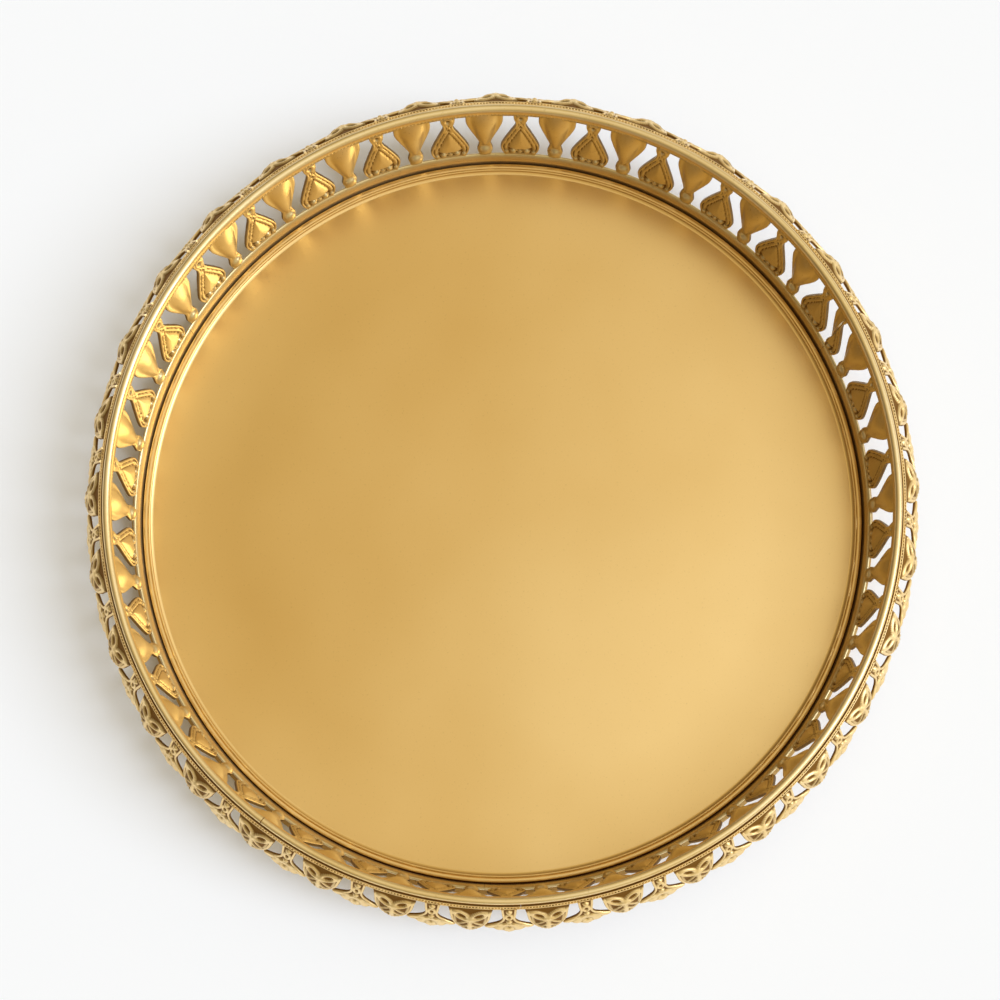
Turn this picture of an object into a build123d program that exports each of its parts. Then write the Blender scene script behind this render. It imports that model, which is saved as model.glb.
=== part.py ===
from build123d import *
import os
from math import degrees

# Round candle plate: a pressed plate inside a pierced gallery, a lace apron that hangs outside it from
# the top rail, a base ring under plate and gallery, and a half-round rim on top.
# Millimetres, +Z up, origin on the table under the middle of the tray.

# Plate
plate_flat_radius = 111.9
plate_bead_width = 3.0
plate_bead_rise = 0.5
plate_sheet = 0.9
plate_floor_height = 3.6

# Base ring
ring_thickness = 1.5
ring_inward = 6.0
ring_outward = 2.1

# Gallery: two rails with vases and bells between them
plate_gap = 0.7
lower_rail_height = 5.7
lower_rail_depth = 1.3
slot_height = 20.0
upper_rail_height = 1.4
upper_rail_depth = 1.9
rail_root = 0.6
rail_proud = 0.2
motif_thickness = 0.9
length_count = 3
pairs_per_length = 11
joint_gap = 0.1
seam_angle = 28.6
cut_past_middle = 0.63
vase_foot_width = 3.8
vase_ball_width = 4.8
vase_neck_width = 3.6
vase_body_width = 6.6
vase_shoulder_width = 11.0
bell_foot_width = 9.8
bell_mouth_width = 12.0
bell_skirt_width = 10.4
bell_neck_width = 3.1
bell_loop_width = 4.4

# Apron: a lace of pointed arches and fans that slopes outward and down
apron_seat_gap = 0.1
apron_groove = 0.5
apron_rail_width = 1.2
apron_rail_height = 1.6
apron_foot_height = 0.7
apron_sheet = 1.0
apron_slope = 57
apron_root = 0.5
apron_pair_angle = 276.4
arch_width = 13.2
arch_flank_width = 11.6
arch_ogive_width = 6.4
arch_length = 15.2
column_width = 4.8
column_waist = 3.2
fan_width = 13.6
fan_crown_width = 7.6
fan_length = 15.6

# Rim
rim_overhang = 0.4
rim_width = 2.5
rim_edge = 1.4
rim_height = 1.9
rim_seam_angle = 232.75
rim_seam_gap = 0.3

# Places that follow from the sizes above
plate_radius = plate_flat_radius + plate_bead_width
plate_underside = plate_floor_height - plate_sheet
gallery_radius = plate_radius + plate_gap
slot_bottom = ring_thickness + lower_rail_height
slot_top = slot_bottom + slot_height
rail_top = slot_top + upper_rail_height
pair_count = length_count * pairs_per_length
pitch = (360 + 2 * cut_past_middle) / (pair_count + 0.5)
apron_pitch = 360 / pair_count
apron_inner = gallery_radius + upper_rail_depth + apron_seat_gap
apron_rail_inner = apron_inner + apron_groove
apron_rail_outer = apron_rail_inner + apron_rail_width
apron_rail_bottom = rail_top - apron_rail_height


def arc_angle(arc_length, radius):
    return degrees(arc_length / radius)


def turned(outline, start=0, sweep=360):
    """A solid of revolution about Z from an outline drawn in the XZ plane."""
    return Rot(Z=start) * revolve(Plane.XZ * make_face(outline), Axis.Z, sweep)


def rail_length(outline, start, end):
    """A rail between two angles, short of each by half the joint gap."""
    gap = arc_angle(joint_gap, gallery_radius)
    return turned(outline, start + gap / 2, end - start - gap)


def make_plate():
    bead_middle = plate_flat_radius + plate_bead_width / 2
    crown = plate_floor_height + plate_bead_rise
    bead = ThreePointArc(
        (plate_flat_radius, plate_floor_height), (bead_middle, crown), (plate_radius, plate_floor_height)
    )
    skirt_inside = plate_radius - plate_sheet
    rest = Polyline(
        (plate_radius, plate_floor_height),
        (plate_radius, ring_thickness),
        (skirt_inside, ring_thickness),
        (skirt_inside, plate_floor_height),
        (bead_middle, crown - plate_sheet),
        (plate_flat_radius, plate_underside),
        (0, plate_underside),
        (0, plate_floor_height),
        (plate_flat_radius, plate_floor_height),
    )
    return turned(Curve() + [bead, rest])


def make_base_ring():
    inner = plate_radius - ring_inward
    outer = gallery_radius + ring_outward
    return turned(
        Polyline((inner, 0), (outer, 0), (outer, ring_thickness), (inner, ring_thickness), close=True)
    )


def motif_plate(side):
    """A symmetric motif from the edges of its right side, given from foot to top on the wall."""
    foot, top = side @ 0, side @ 1
    bottom = Line((-foot.X, foot.Y), foot)
    lid = Line(top, (-top.X, top.Y))
    wall = Plane(origin=(gallery_radius + rail_proud, 0, slot_bottom), x_dir=(0, 1, 0), z_dir=(1, 0, 0))
    face = make_face(Curve() + [bottom, side, lid, mirror(side, Plane.YZ)])
    return extrude(wall * face, motif_thickness)


def make_vase():
    """Foot, ball, neck and a body that opens to a straight shoulder."""
    ball = ThreePointArc(
        (vase_foot_width / 2, -rail_root), (vase_ball_width / 2, 0.12 * slot_height),
        (vase_neck_width / 2, 0.31 * slot_height),
    )
    body = ThreePointArc(
        ball @ 1, (vase_body_width / 2, 0.51 * slot_height), (vase_shoulder_width / 2, 0.82 * slot_height)
    )
    shoulder = Line(body @ 1, (vase_shoulder_width / 2, slot_height + rail_root))
    return motif_plate(Curve() + [ball, body, shoulder])


def make_bell():
    """Rounded mouth, straight skirt drawn in to a neck, and a loop on top."""
    mouth = ThreePointArc(
        (bell_foot_width / 2, -rail_root), (bell_mouth_width / 2, 0.17 * slot_height),
        (bell_skirt_width / 2, 0.33 * slot_height),
    )
    skirt = Line(mouth @ 1, (bell_neck_width / 2, 0.75 * slot_height))
    loop = Polyline(
        skirt @ 1,
        (bell_loop_width / 2, 0.86 * slot_height),
        (bell_loop_width / 2, slot_height + rail_root),
    )
    return motif_plate(Curve() + [mouth, skirt, loop])


vase = make_vase()
bell = make_bell()


def vase_angle(number):
    return seam_angle - cut_past_middle + number * pitch


def bell_angle(number):
    return vase_angle(number) + pitch / 2


def joint_angle(number, vase_width, bell_width):
    """Middle of the slot that follows a vase, at the height with these two widths."""
    vase_edge = vase_angle(number) + arc_angle(vase_width / 2, gallery_radius)
    bell_edge = bell_angle(number) - arc_angle(bell_width / 2, gallery_radius)
    return (vase_edge + bell_edge) / 2


def cut_at_seam(motif, keep):
    """The part of a motif on one side of the seam, short of it by half the joint gap."""
    side = 1 if keep == Keep.TOP else -1
    tangent = Vector(0, 1, 0).rotate(Axis.Z, seam_angle)
    plane = Plane(origin=tangent * (side * joint_gap / 2), z_dir=tangent)
    return split(motif, bisect_by=plane, keep=keep)


def rail_outline(depth, bottom, top):
    outer = gallery_radius + depth
    return Polyline(
        (gallery_radius, bottom), (outer, bottom), (outer, top), (gallery_radius, top), close=True
    )


def make_gallery_length(number):
    """One cast length: both rails and the bells and vases between them."""
    first = number * pairs_per_length
    last = first + pairs_per_length
    low_start = joint_angle(first, vase_foot_width, bell_foot_width)
    low_end = joint_angle(last, vase_foot_width, bell_foot_width)
    high_start = joint_angle(first, vase_shoulder_width, bell_loop_width)
    high_end = joint_angle(last, vase_shoulder_width, bell_loop_width)
    motifs = [Rot(Z=bell_angle(pair)) * bell for pair in range(first, last)]
    motifs += [Rot(Z=vase_angle(pair + 1)) * vase for pair in range(first, last)]
    if number == 0:
        low_start = high_start = seam_angle
        motifs.append(cut_at_seam(Rot(Z=vase_angle(0)) * vase, Keep.TOP))
    if number == length_count - 1:
        low_end = high_end = seam_angle + 360
        motifs.append(cut_at_seam(Rot(Z=bell_angle(pair_count)) * bell, Keep.BOTTOM))
    lower = rail_outline(lower_rail_depth, ring_thickness, slot_bottom)
    upper = rail_outline(upper_rail_depth, slot_top, rail_top)
    return rail_length(lower, low_start, low_end) + [rail_length(upper, high_start, high_end), *motifs]


def apron_leaf(side):
    """A symmetric leaf of the sloping sheet, from the edges of its one side, from rail to tip."""
    root = side @ 0
    back = Line((root.X, -root.Y), root)
    face = make_face(Curve() + [back, side, mirror(side, Plane.XZ)])
    slope = Plane(origin=(apron_rail_outer, 0, rail_top - apron_root)).rotated((0, apron_slope, 0))
    return extrude(slope * face, -apron_sheet)


def make_arch():
    """A pointed leaf, widest at the rail."""
    flank = Line((-apron_root, arch_width / 2), (0.45 * arch_length, arch_flank_width / 2))
    ogive = ThreePointArc(flank @ 1, (0.8 * arch_length, arch_ogive_width / 2), (arch_length, 0))
    return apron_leaf(Curve() + [flank, ogive])


def make_fan():
    """A narrow column that opens at its outer end to a fan, whose wings almost reach the arches."""
    column = Line((-apron_root, column_width / 2), (0.53 * fan_length, column_waist / 2))
    wing = Line(column @ 1, (0.65 * fan_length, fan_width / 2))
    crown = ThreePointArc(wing @ 1, (0.85 * fan_length, fan_crown_width / 2), (fan_length, 0))
    return apron_leaf(Curve() + [column, wing, crown])


def apron_rail_outline():
    """A rail behind a groove, with a low foot that reaches back to the gallery's upper rail."""
    foot_top = apron_rail_bottom + apron_foot_height
    return Polyline(
        (apron_inner, apron_rail_bottom),
        (apron_rail_outer, apron_rail_bottom),
        (apron_rail_outer, rail_top),
        (apron_rail_inner, rail_top),
        (apron_rail_inner, foot_top),
        (apron_inner, foot_top),
        close=True,
    )


arch = make_arch()
fan = make_fan()


def make_apron_length(number):
    """One length of lace: a rail with arches and fans in turn."""
    first = apron_pair_angle + number * pairs_per_length * apron_pitch
    fan_edge = first - apron_pitch / 2 + arc_angle(column_width / 2, apron_inner)
    arch_edge = first - arc_angle(arch_width / 2, apron_inner)
    start = (fan_edge + arch_edge) / 2
    rail = rail_length(apron_rail_outline(), start, start + pairs_per_length * apron_pitch)
    leaves = [Rot(Z=first + pair * apron_pitch) * arch for pair in range(pairs_per_length)]
    leaves += [Rot(Z=first + (pair + 0.5) * apron_pitch) * fan for pair in range(pairs_per_length)]
    return rail + leaves


def make_rim_ring():
    inner = gallery_radius - rim_overhang
    outer = inner + rim_width
    shoulder = rail_top + rim_edge
    crown = ThreePointArc(
        (outer, shoulder), ((inner + outer) / 2, rail_top + rim_height), (inner, shoulder)
    )
    rest = Polyline((inner, shoulder), (inner, rail_top), (outer, rail_top), (outer, shoulder))
    gap = arc_angle(rim_seam_gap, (inner + outer) / 2)
    return turned(Curve() + [crown, rest], rim_seam_angle + gap / 2, 360 - gap)


pieces = {
    "plate": make_plate(),
    "base_ring": make_base_ring(),
    "rim_ring": make_rim_ring(),
}
for length_number in range(length_count):
    pieces[f"gallery_length_{length_number + 1}"] = make_gallery_length(length_number)
    pieces[f"apron_length_{length_number + 1}"] = make_apron_length(length_number)

os.makedirs("parts", exist_ok=True)
for name, shape in pieces.items():
    export_step(shape, f"parts/{name}.step")
    print(name, "solids", len(shape.solids()), "volume", round(shape.volume))
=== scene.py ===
from math import atan2, cos, degrees, hypot, pi, radians, sin, sqrt
import bmesh
import bpy
from mathutils import Matrix, Vector


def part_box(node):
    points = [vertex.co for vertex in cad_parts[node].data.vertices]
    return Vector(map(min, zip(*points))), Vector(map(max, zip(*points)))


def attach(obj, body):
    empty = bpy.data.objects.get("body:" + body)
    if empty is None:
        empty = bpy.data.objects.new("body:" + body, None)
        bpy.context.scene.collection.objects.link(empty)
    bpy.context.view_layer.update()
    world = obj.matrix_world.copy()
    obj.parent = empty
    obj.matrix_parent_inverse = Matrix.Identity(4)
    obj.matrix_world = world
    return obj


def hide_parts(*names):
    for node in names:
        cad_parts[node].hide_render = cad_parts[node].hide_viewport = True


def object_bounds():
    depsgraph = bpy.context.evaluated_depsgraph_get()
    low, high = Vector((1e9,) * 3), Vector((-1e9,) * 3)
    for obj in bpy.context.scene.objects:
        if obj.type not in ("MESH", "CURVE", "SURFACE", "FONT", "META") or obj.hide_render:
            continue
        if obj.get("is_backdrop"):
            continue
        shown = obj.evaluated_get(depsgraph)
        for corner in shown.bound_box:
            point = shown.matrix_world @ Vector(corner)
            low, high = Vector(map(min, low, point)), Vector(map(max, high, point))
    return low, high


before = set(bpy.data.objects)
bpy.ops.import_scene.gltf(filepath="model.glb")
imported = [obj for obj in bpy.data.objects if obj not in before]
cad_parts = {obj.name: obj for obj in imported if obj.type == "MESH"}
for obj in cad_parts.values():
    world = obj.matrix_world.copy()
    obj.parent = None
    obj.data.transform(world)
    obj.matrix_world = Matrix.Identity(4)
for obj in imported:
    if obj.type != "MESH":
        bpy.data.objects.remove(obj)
cadLow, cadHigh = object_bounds()
mm = 0.001


def nodeBox(node):
    low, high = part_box(node)
    return low / mm, high / mm


plateLow, plateHigh = nodeBox("plate")
ringLow, ringHigh = nodeBox("base_ring")
rimLow, rimHigh = nodeBox("rim_ring")
railTop = nodeBox("gallery_length_1")[1].z
print("frame loaded:", len(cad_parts), "nodes")

# sizes in millimetres, and counts, that the pieces share
tray = {"plateGap": 0.7, "lowerRail": 5.7, "upperRail": 1.4, "lengths": 3, "pairs": 33, "turnSteps": 264}
plateRadius = plateHigh.x
galleryRadius = plateRadius + tray["plateGap"]
slotBottom = ringHigh.z + tray["lowerRail"]
slotTop = railTop - tray["upperRail"]
slotHeight = slotTop - slotBottom
perLength = tray["pairs"] // tray["lengths"]


# shading nodes

def addNode(tree, kind, place, **settings):
    node = tree.nodes.new(kind)
    node.location = place
    for name, value in settings.items():
        if name in node.inputs:
            node.inputs[name].default_value = value
        else:
            setattr(node, name, value)
    return node


def makeToneGroup():
    # soft clouds and tiny specks over one gilt colour, and painted shade with some patina darkening the
    # hollows
    group = bpy.data.node_groups.new("giltTone", "ShaderNodeTree")
    face = group.interface
    face.new_socket("Vector", in_out="INPUT", socket_type="NodeSocketVector")
    colours = {"Bright": (0.85, 0.6, 0.25, 1), "Deep": (0.7, 0.42, 0.12, 1), "Dark": (0.2, 0.1, 0.02, 1)}
    for name, colour in colours.items():
        face.new_socket(name, in_out="INPUT", socket_type="NodeSocketColor").default_value = colour
    amounts = {"Cloud Scale": 12, "Speck Scale": 900, "Speck Amount": 0.3, "Hollow": 0,
               "Smooth Roughness": 0.3, "Hollow Roughness": 0.5}
    for name, value in amounts.items():
        face.new_socket(name, in_out="INPUT", socket_type="NodeSocketFloat").default_value = value
    face.new_socket("Color", in_out="OUTPUT", socket_type="NodeSocketColor")
    face.new_socket("Roughness", in_out="OUTPUT", socket_type="NodeSocketFloat")
    entry = addNode(group, "NodeGroupInput", (-900, 0))
    result = addNode(group, "NodeGroupOutput", (700, 0))
    clouds = addNode(group, "ShaderNodeTexNoise", (-600, 200), Detail=4.0, Roughness=0.55)
    cloudRange = addNode(group, "ShaderNodeMapRange", (-400, 200), **{"From Min": 0.35, "From Max": 0.65})
    tone = addNode(group, "ShaderNodeMix", (-200, 200), data_type="RGBA")
    specks = addNode(group, "ShaderNodeTexNoise", (-600, -100), Detail=1.0)
    speckRange = addNode(group, "ShaderNodeMapRange", (-400, -100), **{"From Min": 0.66, "From Max": 0.74})
    speckShare = addNode(group, "ShaderNodeMath", (-200, -100), operation="MULTIPLY")
    speckled = addNode(group, "ShaderNodeMix", (50, 100), data_type="RGBA")
    patinaAndShadeMix = addNode(group, "ShaderNodeMix", (300, 100), data_type="RGBA")
    rough = addNode(group, "ShaderNodeMix", (300, -200), data_type="FLOAT")
    link = group.links.new
    link(entry.outputs["Vector"], clouds.inputs["Vector"])
    link(entry.outputs["Cloud Scale"], clouds.inputs["Scale"])
    link(clouds.outputs["Fac"], cloudRange.inputs["Value"])
    link(cloudRange.outputs["Result"], tone.inputs["Factor"])
    link(entry.outputs["Deep"], tone.inputs["A"])
    link(entry.outputs["Bright"], tone.inputs["B"])
    link(entry.outputs["Vector"], specks.inputs["Vector"])
    link(entry.outputs["Speck Scale"], specks.inputs["Scale"])
    link(specks.outputs["Fac"], speckRange.inputs["Value"])
    link(speckRange.outputs["Result"], speckShare.inputs[0])
    link(entry.outputs["Speck Amount"], speckShare.inputs[1])
    link(speckShare.outputs["Value"], speckled.inputs["Factor"])
    link(tone.outputs["Result"], speckled.inputs["A"])
    link(entry.outputs["Dark"], speckled.inputs["B"])
    # painted shade and patina: Dark laid over the hollows by the mask from the mesh
    link(entry.outputs["Hollow"], patinaAndShadeMix.inputs["Factor"])
    link(speckled.outputs["Result"], patinaAndShadeMix.inputs["A"])
    link(entry.outputs["Dark"], patinaAndShadeMix.inputs["B"])
    link(entry.outputs["Hollow"], rough.inputs["Factor"])
    link(entry.outputs["Smooth Roughness"], rough.inputs["A"])
    link(entry.outputs["Hollow Roughness"], rough.inputs["B"])
    link(patinaAndShadeMix.outputs["Result"], result.inputs["Color"])
    link(rough.outputs["Result"], result.inputs["Roughness"])
    return group


def makeGrainGroup():
    # fine pebble grain of a cast or rolled surface, over the slow waves of pressed sheet
    group = bpy.data.node_groups.new("giltGrain", "ShaderNodeTree")
    face = group.interface
    face.new_socket("Vector", in_out="INPUT", socket_type="NodeSocketVector")
    amounts = {"Scale": 900, "Depth": 0.00003, "Strength": 0.3, "Wave Scale": 15, "Wave Depth": 0}
    for name, value in amounts.items():
        face.new_socket(name, in_out="INPUT", socket_type="NodeSocketFloat").default_value = value
    face.new_socket("Normal", in_out="OUTPUT", socket_type="NodeSocketVector")
    entry = addNode(group, "NodeGroupInput", (-600, 0))
    result = addNode(group, "NodeGroupOutput", (400, 0))
    grain = addNode(group, "ShaderNodeTexNoise", (-300, 0), Detail=3.0)
    bump = addNode(group, "ShaderNodeBump", (100, 0))
    waves = addNode(group, "ShaderNodeTexNoise", (-300, -300), Detail=1.0)
    waveBump = addNode(group, "ShaderNodeBump", (-100, -300), Strength=1.0)
    link = group.links.new
    link(entry.outputs["Vector"], waves.inputs["Vector"])
    link(entry.outputs["Wave Scale"], waves.inputs["Scale"])
    link(waves.outputs["Fac"], waveBump.inputs["Height"])
    link(entry.outputs["Wave Depth"], waveBump.inputs["Distance"])
    link(waveBump.outputs["Normal"], bump.inputs["Normal"])
    link(entry.outputs["Vector"], grain.inputs["Vector"])
    link(entry.outputs["Scale"], grain.inputs["Scale"])
    link(grain.outputs["Fac"], bump.inputs["Height"])
    link(entry.outputs["Depth"], bump.inputs["Distance"])
    link(entry.outputs["Strength"], bump.inputs["Strength"])
    link(bump.outputs["Normal"], result.inputs["Normal"])
    return group


toneGroup = makeToneGroup()
grainGroup = makeGrainGroup()

# Dark serves both the random specks and the painted shade in the hollows
finishes = {
    "plateGilt": {
        "Bright": (0.90, 0.61, 0.24, 1), "Deep": (0.85, 0.555, 0.20, 1), "Dark": (0.45, 0.26, 0.08, 1),
        "Cloud Scale": 9, "Speck Scale": 1400, "Speck Amount": 0.14,
        "Smooth Roughness": 0.28, "Hollow Roughness": 0.5,
        "grainScale": 1500, "grainStrength": 0.3, "waveDepth": 1.0, "metal": 0.95,
    },
    "rimGilt": {
        "Bright": (0.92, 0.71, 0.37, 1), "Deep": (0.86, 0.63, 0.28, 1), "Dark": (0.35, 0.20, 0.05, 1),
        "Cloud Scale": 30, "Speck Scale": 1200, "Speck Amount": 0.15,
        "Smooth Roughness": 0.28, "Hollow Roughness": 0.5,
        "grainScale": 2500, "grainStrength": 0.15, "waveDepth": 0.0, "metal": 0.9,
    },
    "galleryGilt": {
        "Bright": (0.88, 0.73, 0.42, 1), "Deep": (0.80, 0.63, 0.31, 1), "Dark": (0.26, 0.14, 0.03, 1),
        "Cloud Scale": 60, "Speck Scale": 1500, "Speck Amount": 0.2,
        "Smooth Roughness": 0.29, "Hollow Roughness": 0.5,
        "grainScale": 2200, "grainStrength": 0.6, "waveDepth": 0.0, "metal": 0.88,
    },
    "apronGilt": {
        "Bright": (0.99, 0.75, 0.37, 1), "Deep": (0.94, 0.67, 0.28, 1), "Dark": (0.24, 0.11, 0.015, 1),
        "Cloud Scale": 60, "Speck Scale": 1500, "Speck Amount": 0.2,
        "Smooth Roughness": 0.38, "Hollow Roughness": 0.6,
        "grainScale": 2000, "grainStrength": 0.35, "waveDepth": 0.0, "metal": 0.85,
    },
    "baseGilt": {
        "Bright": (0.76, 0.53, 0.22, 1), "Deep": (0.66, 0.43, 0.15, 1), "Dark": (0.17, 0.06, 0.015, 1),
        "Cloud Scale": 40, "Speck Scale": 900, "Speck Amount": 0.4,
        "Smooth Roughness": 0.45, "Hollow Roughness": 0.6,
        "grainScale": 1500, "grainStrength": 0.3, "waveDepth": 0.0, "metal": 1.0,
    },
}


def makeGilt(name, settings):
    material = bpy.data.materials.new(name)
    material.use_nodes = True
    tree = material.node_tree
    surface = tree.nodes["Principled BSDF"]
    surface.inputs["Metallic"].default_value = settings["metal"]
    coordinates = addNode(tree, "ShaderNodeTexCoord", (-900, 0))
    # mask of painted shade and patina, laid on by the meshes
    patinaAndShade = addNode(tree, "ShaderNodeAttribute", (-900, -300), attribute_name="patinaAndShade")
    tone = addNode(tree, "ShaderNodeGroup", (-500, 100), node_tree=toneGroup)
    grain = addNode(tree, "ShaderNodeGroup", (-500, -350), node_tree=grainGroup)
    for key, value in settings.items():
        if key in tone.inputs:
            tone.inputs[key].default_value = value
    grain.inputs["Scale"].default_value = settings["grainScale"]
    grain.inputs["Strength"].default_value = settings["grainStrength"]
    grain.inputs["Wave Depth"].default_value = settings["waveDepth"] * mm
    link = tree.links.new
    link(coordinates.outputs["Object"], tone.inputs["Vector"])
    link(coordinates.outputs["Object"], grain.inputs["Vector"])
    link(patinaAndShade.outputs["Fac"], tone.inputs["Hollow"])
    link(tone.outputs["Color"], surface.inputs["Base Color"])
    link(tone.outputs["Roughness"], surface.inputs["Roughness"])
    link(grain.outputs["Normal"], surface.inputs["Normal"])
    return material


gilt = {name: makeGilt(name, settings) for name, settings in finishes.items()}
print("finishes made:", len(gilt))


# meshes

def toMesh(name, bm, sharpAngle):
    bmesh.ops.recalc_face_normals(bm, faces=bm.faces)
    mesh = bpy.data.meshes.new(name)
    bm.to_mesh(mesh)
    bm.free()
    mesh.shade_smooth()
    mesh.set_sharp_from_angle(angle=radians(sharpAngle))
    return mesh


def weldedMesh(name, bm, sharpAngle=50):
    weldWithin = 0.002
    bmesh.ops.remove_doubles(bm, verts=bm.verts, dist=weldWithin * mm)
    return toMesh(name, bm, sharpAngle)


def addPiece(name, mesh, finish=None):
    piece = bpy.data.objects.new(name, mesh)
    bpy.context.scene.collection.objects.link(piece)
    if finish:
        mesh.materials.clear()
        mesh.materials.append(gilt[finish])
    return piece


def settle(piece, slotName, *nodes):
    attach(piece, "root")
    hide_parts(*nodes)


def bend(centre, radii, fromAngle, toAngle, steps):
    # points of a round stretch of a profile
    points = []
    for step in range(steps + 1):
        angle = radians(fromAngle + (toAngle - fromAngle) * step / steps)
        points.append((centre[0] + radii[0] * cos(angle), centre[1] + radii[1] * sin(angle)))
    return points


def turn(bm, profile, start=0.0, sweep=360.0):
    # sweeps a closed profile of (radius, height) round the middle of the tray
    full = sweep >= 360
    steps = round(tray["turnSteps"] * sweep / 360)
    columns = []
    for step in range(steps if full else steps + 1):
        angle = radians(start + sweep * step / steps)
        column = []
        for radius, height in profile:
            column.append(bm.verts.new((radius * cos(angle) * mm, radius * sin(angle) * mm, height * mm)))
        columns.append(column)
    for step in range(steps):
        here, there = columns[step], columns[(step + 1) % len(columns)]
        for i in range(len(profile)):
            bm.faces.new((here[i - 1], there[i - 1], there[i], here[i]))
    if not full:
        bm.faces.new(columns[0])
        bm.faces.new(columns[-1])


# relief: each height is measured from the face of the motif

def wire(distance, radius):
    # round wire, by the distance from its middle line
    return sqrt(max(radius * radius - distance * distance, 0.0))


def dome(distance, radius, rise):
    return rise * sqrt(max(1 - (distance / radius) ** 2, 0.0))


def runOut(lift, edge, least):
    # the relief falls off steeply at the outline
    steepness = 3
    return min(lift, edge * steepness + least)


def toSegment(x, y, start, end):
    ax, ay = end[0] - start[0], end[1] - start[1]
    share = ((x - start[0]) * ax + (y - start[1]) * ay) / (ax * ax + ay * ay)
    share = min(max(share, 0.0), 1.0)
    return hypot(x - start[0] - share * ax, y - start[1] - share * ay)


def halfWidth(stations, along):
    # smooth half width through (place, half width) stations
    last = len(stations) - 1
    i = max(k for k in range(last) if k == 0 or stations[k][0] <= along)
    (a, wa), (b, wb) = stations[i], stations[i + 1]
    before, after = stations[max(i - 1, 0)], stations[min(i + 2, last)]
    share = (along - a) / (b - a)
    slopeA = (wb - before[1]) / (b - before[0]) * (b - a)
    slopeB = (after[1] - wa) / (after[0] - a) * (b - a)
    s2, s3 = share ** 2, share ** 3
    return ((2*s3 - 3*s2 + 1) * wa + (s3 - 2*s2 + share) * slopeA
            + (3*s2 - 2*s3) * wb + (s3 - s2) * slopeB)


def reliefMesh(name, motif, front, back, place):
    # a motif with relief on both faces, darkened where the relief is low: painted shade with some patina in
    # the recesses
    stations = motif["stations"]
    rows, columns = motif["rows"], motif["columns"]
    first, last = stations[0][0], stations[-1][0]
    probe = 0.1  # reach to either side for the slope of the outline
    bm = bmesh.new()
    patinaAndShade = bm.verts.layers.float.new("patinaAndShade")
    skins = []
    for height, base, sign in ((front, 0.0, 1), (back, -motif["thickness"], -1)):
        skin = []
        for i in range(rows + 1):
            along = first + (last - first) * i / rows
            half = max(halfWidth(stations, along), 0.0)
            ahead, behind = min(along + probe, last), max(along - probe, first)
            slope = (halfWidth(stations, ahead) - halfWidth(stations, behind)) / (2 * probe)
            line = []
            for j in range(columns + 1):
                across = half * sin(pi * (j / columns - 0.5))
                edge = (half - abs(across)) / sqrt(1 + slope * slope)
                lift = height(along, across, edge)
                point = bm.verts.new(place(along, across, base + sign * lift, half) * mm)
                # painted shade and patina: the lower the relief, the darker the colour
                point[patinaAndShade] = 1 - min(max(lift / motif["brightAbove"], 0.0), 1.0)
                line.append(point)
            skin.append(line)
        skins.append(skin)
        for i in range(rows):
            for j in range(columns):
                bm.faces.new((skin[i][j], skin[i][j + 1], skin[i + 1][j + 1], skin[i + 1][j]))
    upper, lower = skins
    for i in range(rows):
        for j in (0, columns):
            bm.faces.new((upper[i][j], upper[i + 1][j], lower[i + 1][j], lower[i][j]))
    for i in (0, rows):
        for j in range(columns):
            bm.faces.new((upper[i][j], upper[i][j + 1], lower[i][j + 1], lower[i][j]))
    return weldedMesh(name, bm, sharpAngle=60)


# strips of motifs

rowInputs = {"Motif": "NodeSocketObject", "Count": "NodeSocketInt", "First Angle": "NodeSocketFloat",
             "Pitch": "NodeSocketFloat"}


def makeRowGroup():
    # one motif set round the middle of the tray at equal angles
    group = bpy.data.node_groups.new("motifRow", "GeometryNodeTree")
    for name, kind in rowInputs.items():
        group.interface.new_socket(name, in_out="INPUT", socket_type=kind)
    group.interface.new_socket("Row", in_out="OUTPUT", socket_type="NodeSocketGeometry")
    entry = addNode(group, "NodeGroupInput", (-800, 0))
    result = addNode(group, "NodeGroupOutput", (600, 0))
    points = addNode(group, "GeometryNodePoints", (-200, 200))
    index = addNode(group, "GeometryNodeInputIndex", (-600, -200))
    angle = addNode(group, "ShaderNodeMath", (-400, -200), operation="MULTIPLY_ADD")
    euler = addNode(group, "ShaderNodeCombineXYZ", (-200, -200))
    turned = addNode(group, "FunctionNodeEulerToRotation", (0, -200))
    motif = addNode(group, "GeometryNodeObjectInfo", (-200, 0))
    motif.inputs["As Instance"].default_value = True
    spread = addNode(group, "GeometryNodeInstanceOnPoints", (300, 0))
    link = group.links.new
    link(entry.outputs["Count"], points.inputs["Count"])
    link(index.outputs["Index"], angle.inputs[0])
    link(entry.outputs["Pitch"], angle.inputs[1])
    link(entry.outputs["First Angle"], angle.inputs[2])
    link(angle.outputs["Value"], euler.inputs["Z"])
    link(euler.outputs["Vector"], turned.inputs["Euler"])
    link(entry.outputs["Motif"], motif.inputs["Object"])
    link(points.outputs["Points"], spread.inputs["Points"])
    link(motif.outputs["Geometry"], spread.inputs["Instance"])
    link(turned.outputs["Rotation"], spread.inputs["Rotation"])
    link(spread.outputs["Instances"], result.inputs["Row"])
    return group


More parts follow.
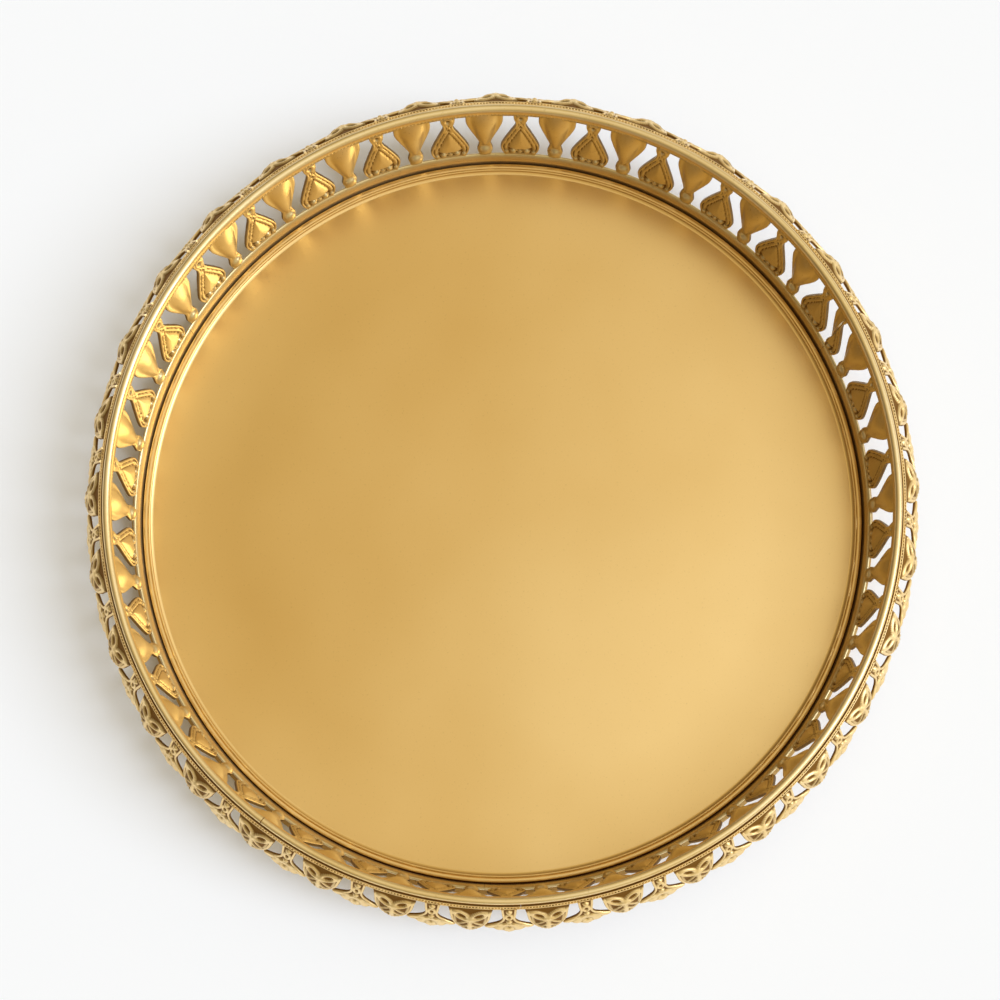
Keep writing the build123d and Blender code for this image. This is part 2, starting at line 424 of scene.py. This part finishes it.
def makeStripTree(rowGroup):
    # rails with three rows on them: two motifs in turn, and beads
    tree = bpy.data.node_groups.new("strip", "GeometryNodeTree")
    face = tree.interface
    face.new_socket("Rails", in_out="INPUT", socket_type="NodeSocketGeometry")
    face.new_socket("Strip", in_out="OUTPUT", socket_type="NodeSocketGeometry")
    face.new_socket("Finish", in_out="INPUT", socket_type="NodeSocketMaterial")
    entry = addNode(tree, "NodeGroupInput", (-800, 0))
    joined = addNode(tree, "GeometryNodeJoinGeometry", (0, 0))
    real = addNode(tree, "GeometryNodeRealizeInstances", (200, 0))
    coated = addNode(tree, "GeometryNodeSetMaterial", (400, 0))
    result = addNode(tree, "NodeGroupOutput", (600, 0))
    link = tree.links.new
    for number, row in enumerate(("Lead", "Follow", "Bead")):
        node = addNode(tree, "GeometryNodeGroup", (-300, -200 * number), node_tree=rowGroup)
        for name, kind in rowInputs.items():
            face.new_socket(row + " " + name, in_out="INPUT", socket_type=kind)
            link(entry.outputs[row + " " + name], node.inputs[name])
        link(node.outputs["Row"], joined.inputs["Geometry"])
    link(entry.outputs["Rails"], joined.inputs["Geometry"])
    link(joined.outputs["Geometry"], real.inputs["Geometry"])
    link(real.outputs["Geometry"], coated.inputs["Geometry"])
    link(entry.outputs["Finish"], coated.inputs["Material"])
    link(coated.outputs["Geometry"], result.inputs["Strip"])
    return tree


stripTree = makeStripTree(makeRowGroup())


def makeStrip(name, rails, finish, rows):
    # rows: name of row -> (motif object, count, first angle, pitch), angles in degrees
    carrier = addPiece(name + "Rails", rails)
    modifier = carrier.modifiers.new("strip", "NODES")
    modifier.node_group = stripTree
    values = {"Finish": gilt[finish]}
    for row, (motif, count, firstAngle, pitch) in rows.items():
        for rowInput, value in zip(rowInputs, (motif, count, radians(firstAngle), radians(pitch))):
            values[row + " " + rowInput] = value
    for socket in stripTree.interface.items_tree:
        if socket.in_out == "INPUT" and socket.name in values:
            modifier[socket.identifier] = values[socket.name]
    carrier.update_tag()
    graph = bpy.context.evaluated_depsgraph_get()
    mesh = bpy.data.meshes.new_from_object(carrier.evaluated_get(graph), depsgraph=graph)
    mesh.name = name
    bpy.data.objects.remove(carrier)
    return addPiece(name, mesh)


# plate

plate = {
    "floorHeight": 3.6,
    "floorRings": (0, 28, 56, 84),
    "sheet": 0.9,
    "lipWidth": 3.0,
    # places on the lip, as (out from its inner edge, up from the floor)
    "cove": ((-0.4, 0.0), (0.0, 0.08), (0.45, 0.45)),
    "band": ((1.55, 0.4), (1.75, 0.5)),
    "ridgeRise": 1.0,
    "ridgeWidth": 0.9,
    "ridgeRound": 0.35,
    "edgeInset": 0.5,
    "edgeRise": 0.55,
    "edgeMiddle": 0.15,
    "edgeRound": 0.4,
    "skirtDrop": 0.2,
}


def makePlate():
    floor, sheet, rings = plate["floorHeight"], plate["sheet"], plate["floorRings"]
    inner = plateRadius - plate["lipWidth"]
    edge, edgeRound = plateRadius - plate["edgeInset"], plate["edgeRound"]
    half, ridgeRound = plate["ridgeWidth"] / 2, plate["ridgeRound"]
    ridgeStart = inner + plate["cove"][-1][0]
    crest = floor + plate["ridgeRise"]
    top = [(radius, floor) for radius in rings]
    top += [(inner + out, floor + up) for out, up in plate["cove"]]
    top += bend((ridgeStart + half, crest - ridgeRound), (half, ridgeRound), 180, 0, 8)
    top += [(inner + out, floor + up) for out, up in plate["band"]]
    top += [(edge, floor + plate["edgeRise"])]
    top += bend((edge, floor + plate["edgeMiddle"]), (edgeRound, edgeRound), 75, 0, 5)
    top += [(plateRadius, floor)]
    skirt = plateRadius - sheet
    under = [(plateRadius, plateLow.z), (skirt, plateLow.z), (skirt, floor - plate["skirtDrop"])]
    under += [(inner, floor - sheet)] + [(radius, floor - sheet) for radius in reversed(rings)]
    bm = bmesh.new()
    turn(bm, top + under)
    return addPiece("plate", weldedMesh("plate", bm, sharpAngle=35), "plateGilt")


settle(makePlate(), "plate", "plate")
print("plate made")

# base ring

# the ring's top face is darkened next to the gap: painted shade
baseRing = {"inward": 6.0, "outward": 1.5, "edge": 0.25, "shadeWithin": 1.3, "shadeFade": 0.05}


def makeBaseRing():
    inner, outer = plateRadius - baseRing["inward"], ringHigh.x + baseRing["outward"]
    low, high, edge = ringLow.z, ringHigh.z, baseRing["edge"]
    shadeEdge = galleryRadius + baseRing["shadeWithin"]
    bright = shadeEdge + baseRing["shadeFade"]
    bm = bmesh.new()
    patinaAndShade = bm.verts.layers.float.new("patinaAndShade")
    turn(bm, [(inner, low + edge), (inner + edge, low), (outer - edge, low), (outer, low + edge),
              (outer, high), (bright, high), (shadeEdge, high), (inner, high)])
    for point in bm.verts:
        if point.co.z > (low + high) / 2 * mm and point.co.xy.length < (shadeEdge + bright) / 2 * mm:
            point[patinaAndShade] = 1.0  # painted shade at the bottom of the gap beside the plate
    return addPiece("baseRing", weldedMesh("baseRing", bm), "baseGilt")


settle(makeBaseRing(), "base", "base_ring")
print("base ring made")

# rim

rim = {
    "overhang": 0.4,
    "width": 2.5,
    "foot": 0.5,
    "footInset": 0.15,
    "shadedFoot": 0.1,
    "seamAngle": 232.75,
    "seamGap": 0.3,
}


def makeRim():
    middle = galleryRadius - rim["overhang"] + rim["width"] / 2
    low, high, half = rimLow.z, rimHigh.z, rim["width"] / 2
    spring = low + rim["foot"]
    profile = [(middle - half + rim["footInset"], low), (middle + half - rim["footInset"], low)]
    profile += bend((middle, spring), (half, high - spring), 0, 180, 20)
    gap = degrees(rim["seamGap"] / middle)
    bm = bmesh.new()
    patinaAndShade = bm.verts.layers.float.new("patinaAndShade")
    turn(bm, profile, rim["seamAngle"] + gap / 2, 360 - gap)
    for point in bm.verts:
        if point.co.xy.length > (middle + half - rim["shadedFoot"]) * mm:
            point[patinaAndShade] = 1.0  # painted shadow on the outer foot, in the groove
    return addPiece("rim", weldedMesh("rim", bm, sharpAngle=40), "rimGilt")


settle(makeRim(), "rim", "rim_ring")
print("rim made")

# gallery

gallery = {
    "seamAngle": 28.6,
    "cutPastMiddle": 0.63,
    "jointGap": 0.1,
    "lowerDepth": 1.3,
    "lowerSwell": 0.3,
    "lowerFootInset": 0.1,
    "lowerWaistDrop": 0.6,
    "lowerBackRound": (0.5, 0.8),
    "upperDepth": 1.9,
    "upperChamfer": 0.2,
    "faceInset": 0.9,
    "edgeFade": 0.4,
    "backShare": 0.5,
}
vase = {
    "stations": [(-1.1, 2.0), (0.0, 1.9), (2.6, 2.4), (5.0, 1.9), (6.2, 1.8), (9.2, 2.9), (12.8, 4.4),
                 (16.3, 5.5), (slotHeight, 5.5), (slotHeight + 0.6, 5.5)],
    "rows": 50, "columns": 24, "thickness": 0.6, "brightAbove": 0.12,
    "flankRise": 0.35, "flankRound": 0.7,
    "petalFoot": 5.6, "petalWidth": 3.9, "petalRise": 1.6,
    "petalFullAt": 0.75, "petalStart": 0.35, "petalFadeFrom": 0.7, "petalFade": 5,
    "ballHeight": 2.5, "ballRadius": 2.15, "ballRise": 1.6,
    "collarHeights": (5.7, 0.2), "collarWire": 0.5,
}
bell = {
    "stations": [(-1.1, 4.8), (0.0, 4.9), (1.6, 5.6), (3.8, 6.0), (6.9, 5.05), (11.0, 3.2), (14.9, 1.55),
                 (17.8, 2.15), (slotHeight, 2.15), (slotHeight + 0.6, 2.15)],
    "rows": 60, "columns": 34, "thickness": 0.6, "brightAbove": 0.3, "edgeRise": 0.05,
    "borderWire": 0.42,
    "ropeSpan": (2.4, 13.6), "ropeInset": 1.5, "ropeWire": 0.58, "ropePitch": 1.15,
    "panelSpan": (3.3, 11.6), "panelInset": 2.3, "panelRound": 2.2, "panelRise": 0.9,
    "pearls": ((2.1, 1.9, 1.1), (0.0, 1.5, 0.75), (4.2, 1.3, 0.75)),  # (to the side, height, radius)
    "footHeight": 0.2, "footWire": 0.45,
    "crossLow": (1.3, 13.1), "crossHigh": (1.0, 16.7), "crossWire": 0.45,
    "loopHeight": 18.2, "loopRadius": 1.15, "loopWire": 0.65,
}
footHalves = vase["stations"][1][1], bell["stations"][1][1]
topHalves = vase["stations"][-1][1], bell["stations"][-1][1]
galleryPitch = (360 + 2 * gallery["cutPastMiddle"]) / (tray["pairs"] + 0.5)
firstVase = gallery["seamAngle"] - gallery["cutPastMiddle"]


def onWall(along, across, lift, half):
    # the front of a motif looks to the middle of the tray
    radius = galleryRadius + gallery["faceInset"] - lift
    angle = across / galleryRadius
    return Vector((radius * cos(angle), radius * sin(angle), slotBottom + along))


def vaseRelief(z, x, edge):
    # rounded flanks, a swelling petal that runs down to the neck, a ball between two collars
    lift = vase["flankRise"] * sqrt(1 - (1 - min(edge / vase["flankRound"], 1.0)) ** 2)
    share = (z - vase["petalFoot"]) / (slotHeight - vase["petalFoot"])
    width = vase["petalWidth"] * sqrt(min(max(share, 0.0) / vase["petalFullAt"], 1.0))
    if width > abs(x):
        swell = min(1.0, vase["petalStart"] + share)
        fade = 1 - vase["petalFade"] * max(share - vase["petalFadeFrom"], 0.0) ** 2
        lift += vase["petalRise"] * (1 - (x / width) ** 2) * swell * fade
    lift = max(lift, dome(hypot(x, z - vase["ballHeight"]), vase["ballRadius"], vase["ballRise"]))
    for height in vase["collarHeights"]:
        lift = max(lift, min(edge / gallery["edgeFade"], 1) * wire(z - height, vase["collarWire"]))
    return lift


def bellRelief(z, x, edge):
    # plain border, beaded border, cushion, pearls along the foot, crossed neck and loop
    side = abs(x)
    lift = wire(edge - bell["borderWire"], bell["borderWire"])
    if bell["ropeSpan"][0] < z < bell["ropeSpan"][1]:
        beaded = 0.5 + 0.5 * abs(cos(pi * z / bell["ropePitch"]))
        lift = max(lift, wire(edge - bell["ropeInset"], bell["ropeWire"]) * beaded)
    inside = edge - bell["panelInset"]
    if bell["panelSpan"][0] < z < bell["panelSpan"][1] and inside > 0:
        lift = max(lift, bell["panelRise"] * sqrt(min(inside / bell["panelRound"], 1.0)))
    for place, height, radius in bell["pearls"]:
        lift = max(lift, dome(hypot(side - place, z - height), radius, radius))
    lift = max(lift, min(edge / gallery["edgeFade"], 1) * wire(z - bell["footHeight"], bell["footWire"]))
    (lowSide, lowEnd), (highSide, highEnd) = bell["crossLow"], bell["crossHigh"]
    for lean in (-1, 1):
        away = toSegment(x, z, (lean * lowSide, lowEnd), (-lean * highSide, highEnd))
        lift = max(lift, wire(away, bell["crossWire"]))
    lift = max(lift, wire(hypot(x, z - bell["loopHeight"]) - bell["loopRadius"], bell["loopWire"]))
    return runOut(lift, edge, bell["edgeRise"])


def lowBack(relief):
    # the back repeats the front, lower
    def back(along, across, edge):
        return gallery["backShare"] * relief(along, across, edge)
    return back


vaseMotif = addPiece("vaseMotif", reliefMesh("vaseMotif", vase, vaseRelief, lowBack(vaseRelief), onWall))
bellMotif = addPiece("bellMotif", reliefMesh("bellMotif", bell, bellRelief, lowBack(bellRelief), onWall))


def cutMotif(motif, angle, side):
    # the part of a motif on one side of the seam
    bm = bmesh.new()
    bm.from_mesh(motif.data)
    bm.transform(Matrix.Rotation(radians(angle), 4, "Z"))
    tangent = Matrix.Rotation(radians(gallery["seamAngle"]), 3, "Z") @ Vector((0, 1, 0))
    cut = bmesh.ops.bisect_plane(
        bm, geom=bm.verts[:] + bm.edges[:] + bm.faces[:],
        plane_co=tangent * side * gallery["jointGap"] / 2 * mm,
        plane_no=tangent * side, clear_inner=True)
    openEdges = [part for part in cut["geom_cut"] if isinstance(part, bmesh.types.BMEdge)]
    bmesh.ops.edgenet_fill(bm, edges=openEdges)
    bmesh.ops.triangulate(bm, faces=[face for face in bm.faces if len(face.verts) > 4])
    mesh = bpy.data.meshes.new("cutMotif")
    bm.to_mesh(mesh)
    bm.free()
    return mesh


def slotMiddle(number, vaseHalf, bellHalf):
    vaseEdge = firstVase + number * galleryPitch + degrees(vaseHalf / galleryRadius)
    bellEdge = firstVase + (number + 0.5) * galleryPitch - degrees(bellHalf / galleryRadius)
    return (vaseEdge + bellEdge) / 2


def galleryEnds(first, last, vaseHalf, bellHalf):
    # a length ends in the middle of a slot, or at the seam
    start = slotMiddle(first, vaseHalf, bellHalf) if first else gallery["seamAngle"]
    end = slotMiddle(last, vaseHalf, bellHalf) if last < tray["pairs"] else gallery["seamAngle"] + 360
    return start, end


def galleryRails(first, last):
    bm = bmesh.new()
    bm.verts.layers.float.new("patinaAndShade")
    if first == 0:
        bm.from_mesh(cutMotif(vaseMotif, firstVase, 1))
    if last == tray["pairs"]:
        bm.from_mesh(cutMotif(bellMotif, firstVase + (tray["pairs"] + 0.5) * galleryPitch, -1))
    inner, outer = galleryRadius, galleryRadius + gallery["lowerDepth"]
    foot, crest = ringHigh.z, slotBottom
    waist = (foot + crest) / 2 - gallery["lowerWaistDrop"]
    roundDepth, roundHeight = gallery["lowerBackRound"]
    back = outer - roundDepth
    lower = [(inner + gallery["lowerFootInset"], foot)]
    lower += bend((back, waist), (back - inner + gallery["lowerSwell"], crest - waist), 180, 90, 12)
    lower += bend((back, crest - roundHeight), (roundDepth, roundHeight), 70, 0, 4)
    lower += [(outer, foot)]
    behind, chamfer = inner + gallery["upperDepth"], gallery["upperChamfer"]
    upper = [(inner + chamfer, slotTop), (behind, slotTop), (behind, railTop), (inner, railTop),
             (inner, slotTop + chamfer)]
    gap = degrees(gallery["jointGap"] / inner)
    for profile, halves in ((lower, footHalves), (upper, topHalves)):
        start, end = galleryEnds(first, last, *halves)
        turn(bm, profile, start + gap / 2, end - start - gap)
    return toMesh("galleryRails", bm, sharpAngle=60)


def beadMesh(name, radius, place):
    bm = bmesh.new()
    bmesh.ops.create_uvsphere(bm, u_segments=8, v_segments=5, radius=radius * mm)
    bmesh.ops.translate(bm, verts=bm.verts, vec=Vector(place) * mm)
    bm.verts.layers.float.new("patinaAndShade")
    return weldedMesh(name, bm, sharpAngle=80)


galleryBead = {"radius": 0.42, "pitchAngle": 0.539, "inset": 0.25, "height": 0.75}
pearlPlace = galleryRadius + galleryBead["inset"], 0, slotTop + galleryBead["height"]
pearlMotif = addPiece("pearlMotif", beadMesh("pearlMotif", galleryBead["radius"], pearlPlace))

for number in range(tray["lengths"]):
    firstPair = number * perLength
    lastPair = firstPair + perLength
    start, end = galleryEnds(firstPair, lastPair, *topHalves)
    pearls = int((end - start) / galleryBead["pitchAngle"])
    pearlPitch = (end - start) / pearls
    piece = makeStrip(f"gallery{number + 1}", galleryRails(firstPair, lastPair), "galleryGilt", {
        "Lead": (vaseMotif, perLength, firstVase + (firstPair + 1) * galleryPitch, galleryPitch),
        "Follow": (bellMotif, perLength, firstVase + (firstPair + 0.5) * galleryPitch, galleryPitch),
        "Bead": (pearlMotif, pearls, start + pearlPitch / 2, pearlPitch),
    })
    settle(piece, "gallery", f"gallery_length_{number + 1}")
    print("gallery length", number + 1, "made:", len(piece.data.polygons), "faces")

# apron

apron = {
    "seatGap": 0.1,
    "groove": 0.75,
    "railWidth": 0.95,
    "railHeight": 1.6,
    "footHeight": 0.7,
    "lipRound": (0.2, 0.22),
    "lipDrop": 0.3,
    "channelInset": 0.45,
    "channelDrop": 0.5,
    "slope": 57,
    "root": 0.5,
    "firstArch": 276.4,
    "edgeRise": 0.02,
    "backRise": 0.25,
    "backRound": 0.6,
    "bead": 0.31,
    "beadDrop": 0.35,
    "beadsPerPair": 24,
}
# places on a leaf are (down from the rail, to the side)
arch = {
    "stations": [(-0.5, 6.6), (3.0, 6.2), (6.8, 5.75), (9.6, 4.75), (12.1, 3.2), (14.0, 1.5), (15.2, 0.0)],
    "rows": 56, "columns": 38, "thickness": 0.5, "brightAbove": 0.4, "bulge": 1.8, "droop": 0.8,
    "borders": ((0.5, 0.5), (1.35, 0.32)),  # (in from the edge, radius)
    "bordersFrom": 0.7,
    "petalEnds": ((4.2, 0.5), (1.9, 4.7)), "petalHalf": 1.3, "petalWire": 0.55,
    "knotRadius": 0.85, "knotStretch": 1.1, "knotRise": 0.75,
    "veins": (((4.8, 0.0), (8.0, 3.4)), ((7.2, 0.0), (10.2, 2.1))), "veinWire": 0.42,
    "stemFrom": 4.4, "stemHalf": 0.45, "stemSpread": 0.08, "stemRise": 0.5,
    "tipFrom": 11.0, "tipRise": 0.42, "tipRibRise": 0.15, "tipRibs": 6,
}
fan = {
    "stations": [(-0.5, 2.4), (3.5, 2.1), (5.6, 1.95), (6.8, 2.3), (7.9, 3.2), (8.9, 4.8), (10.0, 7.1),
                 (10.6, 7.5), (11.2, 6.6), (12.4, 4.9), (13.8, 3.2), (14.9, 1.5), (15.6, 0.0)],
    "rows": 54, "columns": 32, "thickness": 0.4, "brightAbove": 0.3, "bulge": 0.5, "droop": 0.2,
    "borderWire": 0.4,
    "eyePlace": 4.4, "eyeRadius": 0.95, "eyeStretch": 1.5, "eyeWire": 0.45,
    "beads": ((7.6, 0.95), (1.3, 1.0)), "beadRise": 0.8,  # (down from the rail, radius)
    "foldsFrom": 8.6, "foldsMiddle": 6.6, "foldStart": 0.5,
    "foldTurns": 6.5, "foldFloor": 0.06, "foldRise": 0.56,
    "dentPlace": 11.6, "dentRadius": 0.45, "dentStretch": 1.4, "dentSlope": 1.2,
}
apronInner = galleryRadius + gallery["upperDepth"] + apron["seatGap"]
apronOuter = apronInner + apron["groove"] + apron["railWidth"]
apronPitch = 360 / tray["pairs"]


def onApron(leaf):
    length = leaf["stations"][-1][0]
    slope = radians(apron["slope"])
    leastHalf = 0.01  # the tip has no width

    def place(along, across, lift, half):
        share = min(max(along / length, 0.0), 1.0)
        lift += leaf["bulge"] * sin(pi * share) * (1 - leaf["droop"] * (across / max(half, leastHalf)) ** 2)
        radius = apronOuter + along * cos(slope) + lift * sin(slope)
        height = railTop - apron["root"] - along * sin(slope) + lift * cos(slope)
        return Vector((radius, across, height))
    return place


def petal(along, across, start, end, half, thickness):
    # a ring of round wire drawn out to a slanting petal
    ax, ay = (end[0] - start[0]) / 2, (end[1] - start[1]) / 2
    x, y = along - start[0] - ax, across - start[1] - ay
    length = hypot(ax, ay)
    u, v = (x * ax + y * ay) / length, (y * ax - x * ay) / length
    return wire((hypot(u / length, v / half) - 1) * half, thickness)


def archRelief(s, y, edge):
    # double border, a bow of two petals with a knot, veins that spread from the stem, a solid tip
    side = abs(y)
    lift = 0.0
    if s > arch["bordersFrom"]:
        lift = max(wire(edge - inset, radius) for inset, radius in arch["borders"])
    lift = max(lift, petal(s, side, *arch["petalEnds"], arch["petalHalf"], arch["petalWire"]))
    past = s - arch["stemFrom"]
    lift = max(lift, dome(hypot(past / arch["knotStretch"], y), arch["knotRadius"], arch["knotRise"]))
    for foot, tip in arch["veins"]:
        lift = max(lift, wire(toSegment(s, side, foot, tip), arch["veinWire"]))
    if past > 0:
        lift = max(lift, dome(side, arch["stemHalf"] + arch["stemSpread"] * past, arch["stemRise"]))
    if s > arch["tipFrom"]:
        lift = max(lift, arch["tipRise"] + arch["tipRibRise"] * cos(arch["tipRibs"] * y))
    return runOut(lift, edge, apron["edgeRise"])


def fanRelief(s, y, edge):
    # column with an oval eye between two beads, then narrow folds that spread to the wings round a dent
    eye = hypot((s - fan["eyePlace"]) / fan["eyeStretch"], y) - fan["eyeRadius"]
    lift = max(wire(edge - fan["borderWire"], fan["borderWire"]), wire(eye, fan["eyeWire"]))
    for place, radius in fan["beads"]:
        lift = max(lift, dome(hypot(s - place, y), radius, fan["beadRise"]))
    past = s - fan["foldsFrom"]
    if past > 0:
        fold = abs(cos(fan["foldTurns"] * atan2(y, s - fan["foldsMiddle"])))
        rise = fan["foldFloor"] + fan["foldRise"] * sqrt(fold)
        lift = max(lift, rise * min(1.0, past / fan["foldStart"]))
        dent = hypot((s - fan["dentPlace"]) / fan["dentStretch"], y) - fan["dentRadius"]
        lift = min(lift, fan["dentSlope"] * max(dent, 0.0))
    return runOut(lift, edge, apron["edgeRise"])


def plainBack(along, across, edge):
    return apron["backRise"] * min(edge / apron["backRound"], 1)


archMotif = addPiece("archMotif", reliefMesh("archMotif", arch, archRelief, plainBack, onApron(arch)))
fanMotif = addPiece("fanMotif", reliefMesh("fanMotif", fan, fanRelief, plainBack, onApron(fan)))
beadPlace = apronOuter - apron["railWidth"] / 2, 0, railTop - apron["beadDrop"]
beadMotif = addPiece("beadMotif", beadMesh("beadMotif", apron["bead"], beadPlace))


def apronRail(start, sweep):
    # two lips with a channel for the beads, and a low foot that reaches back to the gallery
    inner, outer = apronOuter - apron["railWidth"], apronOuter
    low, high = railTop - apron["railHeight"], railTop - apron["channelDrop"]
    lip, lipHeight, footTop = apron["lipRound"][0], railTop - apron["lipDrop"], low + apron["footHeight"]
    profile = [(apronInner, low), (outer, low), (outer, high)]
    profile += bend((outer - lip, lipHeight), apron["lipRound"], -20, 180, 8)
    profile += [(outer - apron["channelInset"], high), (inner + apron["channelInset"], high)]
    profile += bend((inner + lip, lipHeight), apron["lipRound"], 0, 200, 8)
    profile += [(inner, footTop), (apronInner, footTop)]
    bm = bmesh.new()
    patinaAndShade = bm.verts.layers.float.new("patinaAndShade")
    turn(bm, profile, start, sweep)
    for point in bm.verts:
        if point.co.z < (low + railTop) / 2 * mm and point.co.xy.length < (inner + outer) / 2 * mm:
            point[patinaAndShade] = 1.0  # painted shade at the bottom of the groove
    return weldedMesh("apronRail", bm)


for number in range(tray["lengths"]):
    firstArch = apron["firstArch"] + number * perLength * apronPitch
    fanEdge = firstArch - apronPitch / 2 + degrees(fan["stations"][0][1] / apronInner)
    archEdge = firstArch - degrees(arch["stations"][0][1] / apronInner)
    start = (fanEdge + archEdge) / 2
    gap = degrees(gallery["jointGap"] / galleryRadius)
    rail = apronRail(start + gap / 2, perLength * apronPitch - gap)
    beadPitch = apronPitch / apron["beadsPerPair"]
    piece = makeStrip(f"apron{number + 1}", rail, "apronGilt", {
        "Lead": (archMotif, perLength, firstArch, apronPitch),
        "Follow": (fanMotif, perLength, firstArch + apronPitch / 2, apronPitch),
        "Bead": (beadMotif, perLength * apron["beadsPerPair"], start + beadPitch / 2, beadPitch),
    })
    settle(piece, "apron", f"apron_length_{number + 1}")
    print("apron length", number + 1, "made:", len(piece.data.polygons), "faces")

for motif in (vaseMotif, bellMotif, pearlMotif, archMotif, fanMotif, beadMotif):
    bpy.data.objects.remove(motif)

# floor, light and camera

stageLook = {
    "floorSize": 60.0,
    "floorColour": (0.945, 0.945, 0.965, 1),
    "floorRoughness": 0.9,
    "floorShine": 0.1,
    "sunFrom": (0.80, -0.12, 0.60),
    "sunAngle": 34,
    "sunPower": 1.4,
    "glintPower": 1.2,
    "sunColour": (0.74, 0.84, 1.0),
    "skyToward": (0.55, -0.03, 0.835),
    # share of the way toward the bright side, light from there: the dim side is the warmer one
    "skyStops": ((0.45, (0.15, 0.12, 0.08)), (0.60, (0.26, 0.21, 0.13)), (0.70, (0.44, 0.37, 0.22)),
                 (0.78, (0.63, 0.54, 0.32)), (0.855, (0.71, 0.61, 0.39)), (0.905, (0.82, 0.78, 0.65)),
                 (0.96, (1.03, 1.06, 1.10)), (1.0, (1.24, 1.30, 1.40))),
    "backdrop": (0.94, 0.94, 0.94, 1),
    "backdropFull": 0.02,  # height of direction up to which metal mirrors only the backdrop
    "backdropEnd": 0.16,
}


def makeFloor():
    half = stageLook["floorSize"] / 2
    corners = [(-half, -half, 0), (half, -half, 0), (half, half, 0), (-half, half, 0)]
    mesh = bpy.data.meshes.new("floor")
    mesh.from_pydata(corners, [], [(0, 1, 2, 3)])
    paper = bpy.data.materials.new("floorPaper")
    paper.use_nodes = True
    surface = paper.node_tree.nodes["Principled BSDF"]
    surface.inputs["Base Color"].default_value = stageLook["floorColour"]
    surface.inputs["Roughness"].default_value = stageLook["floorRoughness"]
    surface.inputs["Specular IOR Level"].default_value = stageLook["floorShine"]
    mesh.materials.append(paper)
    floor = bpy.data.objects.new("floor", mesh)
    bpy.context.scene.collection.objects.link(floor)
    floor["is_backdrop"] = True


def makeSun(name, power, inMetal):
    # broad light from the right, so the shadow falls to the left
    data = bpy.data.lights.new(name, "SUN")
    data.energy = power
    data.color = stageLook["sunColour"]
    data.angle = radians(stageLook["sunAngle"])
    sun = bpy.data.objects.new(name, data)
    sun.rotation_euler = Vector(stageLook["sunFrom"]).to_track_quat("Z", "Y").to_euler()
    sun.visible_glossy = inMetal
    bpy.context.scene.collection.objects.link(sun)


def makeSky():
    # a studio that is bright and cool on the right and dim and warm on the left, before a pale backdrop
    world = bpy.data.worlds.new("studio")
    bpy.context.scene.world = world
    world.use_nodes = True
    tree = world.node_tree
    link = tree.links.new
    sky = tree.nodes["Background"]
    direction = addNode(tree, "ShaderNodeTexCoord", (-1100, 0))
    toPatch = addNode(tree, "ShaderNodeVectorMath", (-900, 0), operation="DOT_PRODUCT")
    toPatch.inputs[1].default_value = Vector(stageLook["skyToward"]).normalized()
    share = addNode(tree, "ShaderNodeMapRange", (-700, 0), **{"From Min": -1.0})
    levels = addNode(tree, "ShaderNodeValToRGB", (-500, 0))
    ramp = levels.color_ramp
    while len(ramp.elements) < len(stageLook["skyStops"]):
        ramp.elements.new(0.5)
    for stop, (place, colour) in zip(ramp.elements, stageLook["skyStops"]):
        stop.position = place
        stop.color = (*colour, 1)
    link(direction.outputs["Generated"], toPatch.inputs[0])
    link(toPatch.outputs["Value"], share.inputs["Value"])
    link(share.outputs["Result"], levels.inputs["Fac"])
    link(levels.outputs["Color"], sky.inputs["Color"])
    # the backdrop: what the camera sees past the floor, and what the metal mirrors just above it
    rays = addNode(tree, "ShaderNodeLightPath", (-900, -300))
    height = addNode(tree, "ShaderNodeSeparateXYZ", (-900, -600))
    band = {"From Min": stageLook["backdropEnd"], "From Max": stageLook["backdropFull"]}
    low = addNode(tree, "ShaderNodeMapRange", (-700, -600), **band)
    mirrored = addNode(tree, "ShaderNodeMath", (-500, -500), operation="MULTIPLY")
    seen = addNode(tree, "ShaderNodeMath", (-500, -300), operation="MAXIMUM")
    shown = addNode(tree, "ShaderNodeMath", (-300, -400), operation="MAXIMUM")
    backdrop = addNode(tree, "ShaderNodeBackground", (-300, -200), Color=stageLook["backdrop"])
    joined = addNode(tree, "ShaderNodeMixShader", (0, 0))
    link(direction.outputs["Generated"], height.inputs["Vector"])
    link(height.outputs["Z"], low.inputs["Value"])
    link(rays.outputs["Is Glossy Ray"], mirrored.inputs[0])
    link(low.outputs["Result"], mirrored.inputs[1])
    link(rays.outputs["Is Camera Ray"], seen.inputs[0])
    link(rays.outputs["Is Transmission Ray"], seen.inputs[1])
    link(seen.outputs["Value"], shown.inputs[0])
    link(mirrored.outputs["Value"], shown.inputs[1])
    link(shown.outputs["Value"], joined.inputs["Fac"])
    link(sky.outputs["Background"], joined.inputs[1])
    link(backdrop.outputs["Background"], joined.inputs[2])
    link(joined.outputs["Shader"], tree.nodes["World Output"].inputs["Surface"])


makeFloor()
makeSky()
makeSun("sun", stageLook["sunPower"], False)
makeSun("glint", stageLook["glintPower"], True)  # only this one shows in the metal
print("floor and light made")

# the photograph looks straight down with the lens shifted, so the circles stay round
shot = {"place": (0.5, -68.4, 323.4), "lens": 36.0, "sensor": 36.0, "shiftX": -0.004, "shiftY": 0.2375,
        "clipStart": 10.0}
cameraData = bpy.data.cameras.new("shot")
cameraData.lens = shot["lens"]
cameraData.sensor_width = shot["sensor"]
cameraData.shift_x = shot["shiftX"]
cameraData.shift_y = shot["shiftY"]
cameraData.clip_start = shot["clipStart"] * mm
camera = bpy.data.objects.new("shot", cameraData)
camera.location = Vector(shot["place"]) * mm
bpy.context.scene.collection.objects.link(camera)
bpy.context.scene.camera = camera
bpy.context.scene.view_settings.view_transform = "Standard"

low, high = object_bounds()
for name, size in (("visual", high - low), ("solid", cadHigh - cadLow)):
    print(name, "box", [round(value, 4) for value in size])
